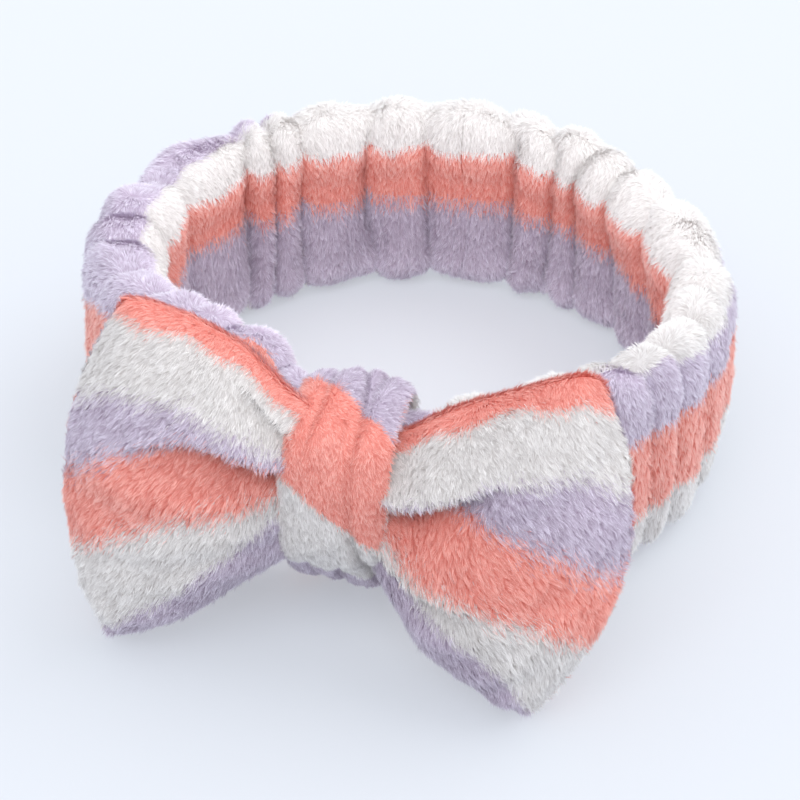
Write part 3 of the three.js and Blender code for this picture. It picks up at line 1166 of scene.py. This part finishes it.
@dataclass
class BowLoop:
    """A puffed loop of striped fleece on one side of the knot."""

    side: int
    stations: tuple[Station, ...]
    folds: tuple[Fold, ...]
    seed: int
    rows: int = 220
    columns: int = 300
    pile_length: float = 2.3 * MM
    lowest: float = 2.2
    flex_start: float = 11 * MM
    flex_end: float = 26 * MM
    name: str = field(init=False)

    BACK_BOUNDS = (0.05, 0.21, 0.38, 0.54, 0.70, 0.82, 0.96)

    def __post_init__(self) -> None:
        """Names the loop after its side."""
        self.name = "left" if self.side < 0 else "right"

    def build(self, centre_y: float) -> None:
        """Builds the loop's cloth and its pile.

        Args:
            centre_y: Where the middle of the ring lies, which the stations are measured from.
        """
        rng = np.random.default_rng(self.seed)
        skin = self._skin(centre_y, rng)
        cloth = self._cloth(skin)
        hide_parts(f"bow_loop_{self.name}")
        # The loops' pile gets a lower painted light level than the band's: painted shade over the whole
        # loop.
        pile = Pile(per_square_mm=20.0, width=0.125 * MM, lean=1.1, tuft=1.2 * MM, mingle=0.9 * MM,
                    swing=0.15, painted_glint=0.42, relief=0.35, painted_light_level=0.38)
        pieces = [cloth, *pile.grow(f"bow_pile_{self.name}", skin, rng)]
        for piece in pieces:
            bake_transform(piece)
            report(piece)

    def _cloth(self, skin: Skin) -> bpy.types.Object:
        """Makes the closed cloth, joined front to back at its two ends.

        Args:
            skin: The cloth's outer face.

        Returns:
            The cloth.
        """
        rows, columns = skin.points.shape[:2]
        corners, cells = skin.quads()
        near = np.arange(columns // 2 - 1)
        ends = []
        for start, turned in ((0, False), ((rows - 1) * columns, True)):
            cap = start + np.stack([near, near + 1, columns - 2 - near, columns - 1 - near], axis=1)
            ends.append(cap if turned else cap[:, ::-1])
        faces = np.vstack([corners, *ends])
        slots = np.concatenate([skin.stripes[cells[:, 0], cells[:, 1]],
                                skin.stripes.reshape(-1)[np.vstack(ends)[:, 0]]])
        return MeshMaker.build(f"bow_cloth_{self.name}", skin.points.reshape(-1, 3), [faces],
                               [grid_map(rows, columns)[faces]],
                               [FINISHES[stripe].backing() for stripe in Stripe], slots)

    def _skin(self, centre_y: float, rng: np.random.Generator) -> Skin:
        """Shapes the loop: its stations, the round end, the folds with painted shade in their hollows,
        and the stripes.

        Args:
            centre_y: Where the middle of the ring lies.
            rng: The source of every random choice.

        Returns:
            The loop's outer face.
        """
        table = np.array([[s.out, s.top, s.bottom, s.top_y, s.bottom_y, s.front, s.back, s.bulge, s.foot]
                          for s in self.stations])
        share = np.linspace(0, 1, self.rows)
        drawn = smooth_through(table, share).T[..., None]
        out, top, bottom, top_y, bottom_y, front, back, bulge, foot = drawn
        share = share[:, None]
        turn = round_section(self.columns)
        rise, face = np.cos(turn), np.sin(turn)
        high = signed_power(rise, 2.3)
        puffed = signed_power(face, 1.75)
        half = (top - bottom) / 2
        ending = np.sqrt(np.clip(1 - (np.clip(share - 0.8, 0, 1) / 0.2) ** 2.2, 0, 1))
        depth = np.where(face > 0, front, back) * mix(0.16, 1.0, ending)
        down = np.clip((1 - high) / 2, 0, 1)
        forward = mix(top_y, bottom_y, down) + puffed * depth
        x = out + bulge * (1 - high**2) + foot * down**3
        z = (top + bottom) / 2 + high * half
        on_front = np.where(face > 0, 1.0, 0.0)
        # Painted shade, darker in each fold's hollow.
        shade = np.ones_like(x + down)
        for fold in self.folds:
            x, z, forward, dark = self._crease(fold, share, down, on_front, x, z, forward)
            shade = shade * (1 - dark)
        forward = forward + on_front * 0.55 * ripple(share * 0.5, down * 0.5, (4, 7), rng)
        forward = forward + 0.35 * ripple(share * 0.5, down * 0.5, (12, 14), rng)
        z = np.maximum(z, self.lowest)
        points = np.stack([self.side * x, -forward + centre_y / MM, z], axis=-1) * MM
        if self.side < 0:
            points = points[:, ::-1]
        stripes = self._stripes(share, down, face)
        lay = np.stack([self.side * 0.55 + 0 * x, -0.1 + 0 * x, -np.sign(face) * 0.9 + 0 * x], axis=-1)
        lay = lay + 0.3 * ripple(share * 0.5, down * 0.5, (5, 5), rng)[..., None] * np.array([1, 0, 0.4])
        if self.side < 0:
            stripes, lay = stripes[:, ::-1], lay[:, ::-1]
        pile = np.full(points.shape[:2], self.pile_length)
        return Skin(points, stripes, lay, pile, shade if self.side > 0 else shade[:, ::-1])

    @staticmethod
    def _crease(fold: Fold, share: np.ndarray, down: np.ndarray, on_front: np.ndarray, x: np.ndarray,
                z: np.ndarray, forward: np.ndarray) -> tuple[np.ndarray, ...]:
        """Presses one fold into the front: a swollen lip hanging over a hollow, in painted shade.

        Args:
            fold: The fold.
            share: How far out each row is.
            down: How far down each point is, 0 to 1.
            on_front: 1 on the front face and 0 on the back.
            x: The points' distance out.
            z: The points' height.
            forward: How far forward the points stand.

        Returns:
            The three places, moved, and the painted shade in the hollow.
        """
        run = np.clip(share / fold.reach, 0, 1)
        line = np.interp(run, np.linspace(0, 1, len(fold.line)), fold.line)
        strength = (1 - ease((run - 0.25) / 0.75)) * on_front
        gap = down - line
        above = np.where(gap < 0, bell(gap, fold.above), bell(gap, fold.edge))
        below = np.where(gap < 0, 0.0, bell(gap - fold.edge, fold.below))
        forward = forward + strength * (fold.lip * above - fold.sunk * below)
        z = z - strength * fold.droop * above
        return x, z, forward, 0.9 * strength * below

    def _stripes(self, share: np.ndarray, down: np.ndarray, face: np.ndarray) -> np.ndarray:
        """Colours the loop: six stripes down its front and six more up its back.

        Args:
            share: How far out each row is.
            down: How far down each point is, 0 to 1.
            face: Positive on the front.

        Returns:
            The stripe's number at each point.
        """
        order = (Stripe.CORAL, Stripe.CREAM, Stripe.LILAC)
        front = np.full(np.broadcast(share, down).shape, order[0].value)
        wave = 0.005 * np.sin(share * 23 + down * 5)
        edges = smooth_through(np.array([station.bounds for station in self.stations]), share[:, 0])
        for k, edge in enumerate(edges.T[..., None]):
            front = np.where(down + wave > edge, order[(k + 1) % 3].value, front)
        back = np.full(front.shape, order[2].value)
        for k, bound in enumerate(self.BACK_BOUNDS):
            back = np.where(1 - down > bound, order[k % 3].value, back)
        return np.where(face > 0, front, back)


LEFT_LOOP = BowLoop(
    side=-1,
    stations=(
        Station(5, 58, 27, 76, 77, 4, 4, (0.04, 0.14, 0.19, 0.52, 0.60)),
        Station(13.5, 61.5, 20.5, 73, 79.5, 9, 6, (0.03, 0.15, 0.20, 0.52, 0.64)),
        Station(23, 67, 15.5, 69.5, 85, 13, 9, (0.02, 0.17, 0.23, 0.54, 0.76)),
        Station(34, 72, 8.0, 68, 89, 14, 10, (0.02, 0.18, 0.28, 0.54, 0.83)),
        Station(44, 75, 3.0, 68, 92.5, 11, 8, (0.03, 0.20, 0.38, 0.63, 0.92), 5, 2),
        Station(48.5, 75.5, 2.2, 68.5, 94, 5, 4, (0.03, 0.27, 0.49, 0.70, 0.98), 12, 2),
    ),
    folds=(
        Fold((0.19, 0.20, 0.25, 0.35), 0.80, lip=5.5, droop=3.5, sunk=9.5, above=0.11, below=0.18),
        Fold((0.12, 0.07, 0.04), 0.50, lip=0.4, droop=0.0, sunk=1.8, above=0.03, below=0.035),
    ),
    seed=23,
)
RIGHT_LOOP = BowLoop(
    side=1,
    stations=(
        Station(5, 52, 26, 76, 77, 4, 4, (0.02, 0.15, 0.18, 0.49, 0.62)),
        Station(13, 53.5, 15.5, 73, 82, 9, 6, (0.02, 0.15, 0.19, 0.49, 0.66)),
        Station(23, 58.8, 7.5, 71, 88, 14, 9, (0.02, 0.17, 0.24, 0.54, 0.70)),
        Station(35, 64.3, 3.5, 69.5, 93.5, 15, 10, (0.02, 0.18, 0.32, 0.58, 0.76)),
        Station(47, 69, 2.4, 68, 97, 12, 8, (0.04, 0.21, 0.43, 0.65, 0.94), 4, -4),
        Station(53, 69.5, 2.4, 68, 98, 5, 4, (0.07, 0.29, 0.54, 0.75, 0.99), 10, -8),
    ),
    folds=(
        Fold((0.15, 0.17, 0.20), 0.76, lip=6.0, droop=3.0, sunk=10.0, above=0.13, below=0.16),
        Fold((0.56, 0.58, 0.60), 0.66, lip=3.0, droop=2.5, sunk=5.0, above=0.10, below=0.12),
    ),
    seed=29,
)


@dataclass
class Knot:
    """The fleece strip that closes round the bow's middle and the band.

    `profile` is the strip's path seen from the side, in millimetres: how far it stands forward of
    the ring's middle and how high, from the middle of the top down the front, and round again.
    `stripes` are the stripes' edges in millimetres along that path, at the middle of its width.
    `creases` are each crease's place across the strip, its depth and its width.
    """

    profile: tuple[tuple[float, float], ...] = (
        (68, 57.8), (76, 57.6), (82.5, 54.5), (86, 47.5), (86.8, 39.5), (86.2, 32), (83.4, 25.5),
        (77.5, 18.2), (71.5, 10.8), (65, 4.6), (57, 6.0), (53.4, 13), (52.6, 24), (52.6, 36),
        (53.6, 47), (58.5, 55))
    stripes: tuple[tuple[float, Stripe], ...] = (
        (-48, Stripe.CREAM), (-22, Stripe.LILAC), (3, Stripe.CORAL), (31, Stripe.CREAM),
        (57, Stripe.LILAC), (82, Stripe.CORAL))
    creases: tuple[tuple[float, float, float], ...] = (
        (-0.50, 1.2, 0.10), (0.12, 1.7, 0.09), (0.50, 2.6, 0.10))
    slope: float = 0.78
    half_width_top: float = 11.5
    half_width_bottom: float = 14.5
    middle_top: float = 0.5
    middle_bottom: float = -1.5
    lowest: float = 1.6
    rows: int = 330
    columns: int = 84
    pile_length: float = 1.5 * MM
    wall: float = 1.0 * MM
    seed: int = 31

    def build(self, centre_y: float) -> None:
        """Builds the strip and its pile.

        Args:
            centre_y: Where the middle of the ring lies, which the profile is measured from.
        """
        rng = np.random.default_rng(self.seed)
        skin = self._skin(centre_y / MM, rng)
        cloth = Backing(skin, self.wall).build("knot_cloth")
        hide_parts("knot_wrap")
        # The knot's pile gets a lower painted light level than the band's, as painted shade.
        pile = Pile(per_square_mm=20.0, width=0.125 * MM, lean=1.0, tuft=1.1 * MM, mingle=0.5 * MM,
                    swing=0.13, painted_glint=0.36, relief=0.3, painted_light_level=0.45)
        for piece in [cloth, *pile.grow("knot_pile", skin, rng)]:
            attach(piece, "front")
            report(piece)

    def _skin(self, centre_y: float, rng: np.random.Generator) -> Skin:
        """Shapes the strip: a loop round band and bow, wider at the foot, with soft creases in painted
        shade.

        Args:
            centre_y: Where the middle of the ring lies, in millimetres.
            rng: The source of every random choice.

        Returns:
            The strip's outer face.
        """
        corners = np.array(self.profile)
        closed = np.vstack([corners[-2:], corners, corners[:3]])
        share = np.linspace(0, 1, self.rows)
        path = smooth_through(closed, (share * len(corners) + 2) / (len(closed) - 1))
        step = np.linalg.norm(np.diff(path, axis=0), axis=1)
        run = np.concatenate([[0], np.cumsum(step)])[:, None]
        run = np.where(run > run[-1] * 0.6, run - run[-1], run)
        heading = unit(np.gradient(path, axis=0))
        forward, high = path[:, :1], path[:, 1:]
        out_forward, out_up = -heading[:, 1:], heading[:, :1]
        across = np.linspace(-1, 1, self.columns)[None, :]
        tall = np.clip(high / 60, 0, 1)
        half_width = mix(self.half_width_bottom, self.half_width_top, tall)
        half_width = half_width * (1 - 0.07 * np.sin(tall * math.pi))
        x = mix(self.middle_bottom, self.middle_top, tall) + half_width * across
        crown = 1.6 * (1 - np.abs(across) ** 3) - 1.3 * np.abs(across) ** 8
        creases = 0.0
        for place, depth, width in self.creases:
            line = place + 0.16 * np.sin(run / 17 + place * 7) + 0.05 * np.sin(run / 6)
            fading = np.clip(0.6 + 0.5 * np.sin(run / 14 + place * 20), 0.1, 1)
            creases = creases - depth * fading * bell(across - line, width)
        swell = crown + creases + 0.35 * ripple(share[:, None], across * 0.25, (9, 4), rng)
        y = centre_y - (forward + swell * out_forward)
        z = high + swell * out_up
        points = np.stack([x, y, np.maximum(z, self.lowest)], axis=-1) * MM
        lay = np.stack([0.25 + 0 * x, 0 * x, -0.9 + 0 * x], axis=-1)
        # Painted shade, darker in the creases.
        shade = 1 - np.clip(-creases / 2.0, 0, 1) + 0 * x
        colours = self._colours(run - self.slope * x)
        return Skin(points[:, ::-1], colours[:, ::-1], lay, np.full(points.shape[:2], self.pile_length),
                    shade[:, ::-1], open_columns=True)

    def _colours(self, place: np.ndarray) -> np.ndarray:
        """Colours the strip.

        Args:
            place: Each point's place along the strip, in millimetres.

        Returns:
            The stripe's number at each point.
        """
        colours = np.full(place.shape, Stripe.CORAL.value)
        for limit, stripe in self.stripes:
            colours = np.where(place > limit, stripe.value, colours)
        return colours


@dataclass
class BowMiddle:
    """The pinched middle of the bow under the knot, drawn into pleats by its thread."""

    pleats: int = 9
    rows: int = 60
    columns: int = 144
    lifted: float = 11.5 * MM
    waist: float = 0.70
    wall: float = 0.8 * MM
    winds: float = 2.4
    wound_width: float = 1.4 * MM
    thread_radius: float = 0.3 * MM
    thread_proud: float = 0.2 * MM

    def build(self) -> None:
        """Builds the pleated core and the thread wound round it."""
        low, high = (np.array(corner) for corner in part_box("bow_centre"))
        low[2] += self.lifted
        centre, half = (low + high) / 2, (high - low) / 2
        share = np.linspace(-1, 1, self.rows)[:, None]
        turn = round_section(self.columns)
        waist = self.waist + 0.28 * np.abs(share) ** 1.4
        pleat = 1 - 0.10 * (0.5 + 0.5 * np.cos(turn * self.pleats))
        points = np.stack([centre[0] + half[0] * share + 0 * turn,
                           centre[1] + half[1] * np.cos(turn) * waist * pleat,
                           centre[2] + half[2] * np.sin(turn) * waist * pleat], axis=-1)
        stripes = np.where(np.sin(turn) + 0 * share > 0.2, Stripe.CORAL.value, Stripe.CREAM.value)
        cloth = Backing(Skin(points, stripes), self.wall).build("bow_middle_cloth")
        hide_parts("bow_centre")
        thread = self._thread(centre, half)
        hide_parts("bow_gather_thread")
        for piece in (cloth, thread):
            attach(piece, "front")
            report(piece)

    def _thread(self, centre: np.ndarray, half: np.ndarray) -> bpy.types.Object:
        """Winds a thread round the core's waist.

        Args:
            centre: The core's middle.
            half: Half the core's size each way.

        Returns:
            The thread.
        """
        wound = np.linspace(0, self.winds * TURN, 130)[:, None]
        share = wound / wound[-1]
        turns = np.linspace(0, TURN, 9)[:-1]
        radius = self.thread_radius * np.sqrt(np.clip(1 - (share * 2 - 1) ** 8, 0.04, 1))
        deep, tall = (size * self.waist + self.thread_proud + radius * np.cos(turns) for size in half[1:])
        points = np.stack([centre[0] + (share - 0.5) * self.wound_width + radius * np.sin(turns),
                           centre[1] + deep * np.cos(wound), centre[2] + tall * np.sin(wound)], axis=-1)
        corners, _ = grid_faces(*points.shape[:2])
        return MeshMaker.build("bow_gather_loops", points.reshape(-1, 3), [corners], None,
                               [THREAD.material()])


def dress_threads() -> None:
    """Gives every stitch that stays from the frame its twisted thread."""
    thread = THREAD.material()
    for node in ("elastic_lap_stitch_left", "elastic_lap_stitch_right", "sleeve_closing_seam",
                 "knot_wrap_seam", "knot_tack_top", "knot_tack_bottom"):
        piece = bpy.data.objects[node]
        piece.data.materials.clear()
        piece.data.materials.append(thread)


# ---------------------------------------------------------------------------- studio


@dataclass(frozen=True)
class Sun:
    """A very broad, far light: the way to where it hangs, its strength, colour and spread."""

    name: str
    towards: tuple[float, float, float]
    strength: float
    colour: Colour
    spread: float = math.radians(50)

    def hang(self) -> None:
        """Hangs the light."""
        data = bpy.data.lights.new(self.name, "SUN")
        data.energy, data.color, data.angle = self.strength, self.colour, self.spread
        light = bpy.data.objects.new(self.name, data)
        light.rotation_euler = (-Vector(self.towards)).to_track_quat("-Z", "Y").to_euler()
        bpy.context.scene.collection.objects.link(light)


@dataclass(frozen=True)
class Softbox:
    """A small unseen light in the ring's opening, turned to the inside of its back."""

    name: str = "inner"
    at: tuple[float, float, float] = (8, -8, 92)
    aim: tuple[float, float, float] = (-8, 88, -56)
    size: float = 0.08
    energy: float = 0.026
    colour: Colour = (1.0, 0.96, 0.94)

    def hang(self) -> None:
        """Hangs the light."""
        data = bpy.data.lights.new(self.name, "AREA")
        data.energy, data.size, data.color = self.energy, self.size, self.colour
        lamp = bpy.data.objects.new(self.name, data)
        lamp.location = Vector(self.at) * MM
        lamp.rotation_euler = Vector(self.aim).to_track_quat("-Z", "Y").to_euler()
        lamp.visible_camera = False
        bpy.context.scene.collection.objects.link(lamp)


@dataclass(frozen=True)
class Studio:
    """The pale table, the soft light and the camera. The camera's places are in millimetres."""

    camera_at: tuple[float, float, float] = (79.5, -379.4, 300.3)
    look_at: tuple[float, float, float] = (2.35, -19.9, 28.0)
    focal_mm: float = 86.2
    sensor_mm: float = 36.0
    floor_colour: Colour = (0.375, 0.395, 0.43)
    floor_glow: Colour = (0.345, 0.358, 0.38)
    floor_reach: float = 4.0
    surround: Colour = (0.91, 0.95, 1.0)
    lights: tuple[Sun | Softbox, ...] = (
        Sun("key", (0.60, 0.45, 0.85), 1.12, (1.0, 0.985, 0.97)),
        Sun("fill", (-0.10, -0.60, 0.95), 0.85, (1.0, 0.985, 0.98)),
        Softbox(),
    )

    def build(self) -> None:
        """Builds the studio."""
        self._camera()
        self._floor()
        self._lights()

    def _camera(self) -> None:
        """Places the camera."""
        data = bpy.data.cameras.new("camera")
        data.lens, data.sensor_width = self.focal_mm, self.sensor_mm
        data.clip_start, data.clip_end = 0.01, 20
        camera = bpy.data.objects.new("camera", data)
        camera.location = Vector(self.camera_at) * MM
        aim = Vector(self.look_at) - Vector(self.camera_at)
        camera.rotation_euler = aim.to_track_quat("-Z", "Y").to_euler()
        bpy.context.scene.collection.objects.link(camera)
        bpy.context.scene.camera = camera

    def _floor(self) -> None:
        """Lays the table's pale surface."""
        corners = self.floor_reach * np.array([[-1, -1, 0], [1, -1, 0], [1, 1, 0], [-1, 1, 0]])
        material, shader = new_material("table_top", roughness=0.5, specular=0.3)
        shader.inputs["Base Color"].default_value = (*self.floor_colour, 1)
        shader.inputs["Emission Color"].default_value = (*self.floor_glow, 1)
        shader.inputs["Emission Strength"].default_value = 1.0
        floor = MeshMaker.build("table", corners, [np.array([[0, 1, 2, 3]])], None, [material])

    def _lights(self) -> None:
        """Hangs one broad light behind, a fill in front and a softbox, in a pale surround."""
        world = bpy.data.worlds.new("surround")
        world.use_nodes = True
        background = world.node_tree.nodes["Background"]
        background.inputs["Color"].default_value = (*self.surround, 1)
        background.inputs["Strength"].default_value = 1.0
        bpy.context.scene.world = world
        for light in self.lights:
            light.hang()
        bpy.context.scene.view_settings.view_transform = "Standard"


def write_sizes() -> None:
    """Brings the view layer up to date."""
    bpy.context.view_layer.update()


def main() -> None:
    """Builds the headband and its studio in order."""
    logging.basicConfig(level=logging.INFO, format="%(name)s: %(message)s")
    Studio().build()
    ring = Ring()
    Sleeve(ring).build()
    ElasticBand(ring).build()
    for loop in (LEFT_LOOP, RIGHT_LOOP):
        loop.build(ring.centre_y)
    BowMiddle().build()
    Knot().build(ring.centre_y)
    dress_threads()
    write_sizes()


if __name__ == "__main__":
    main()
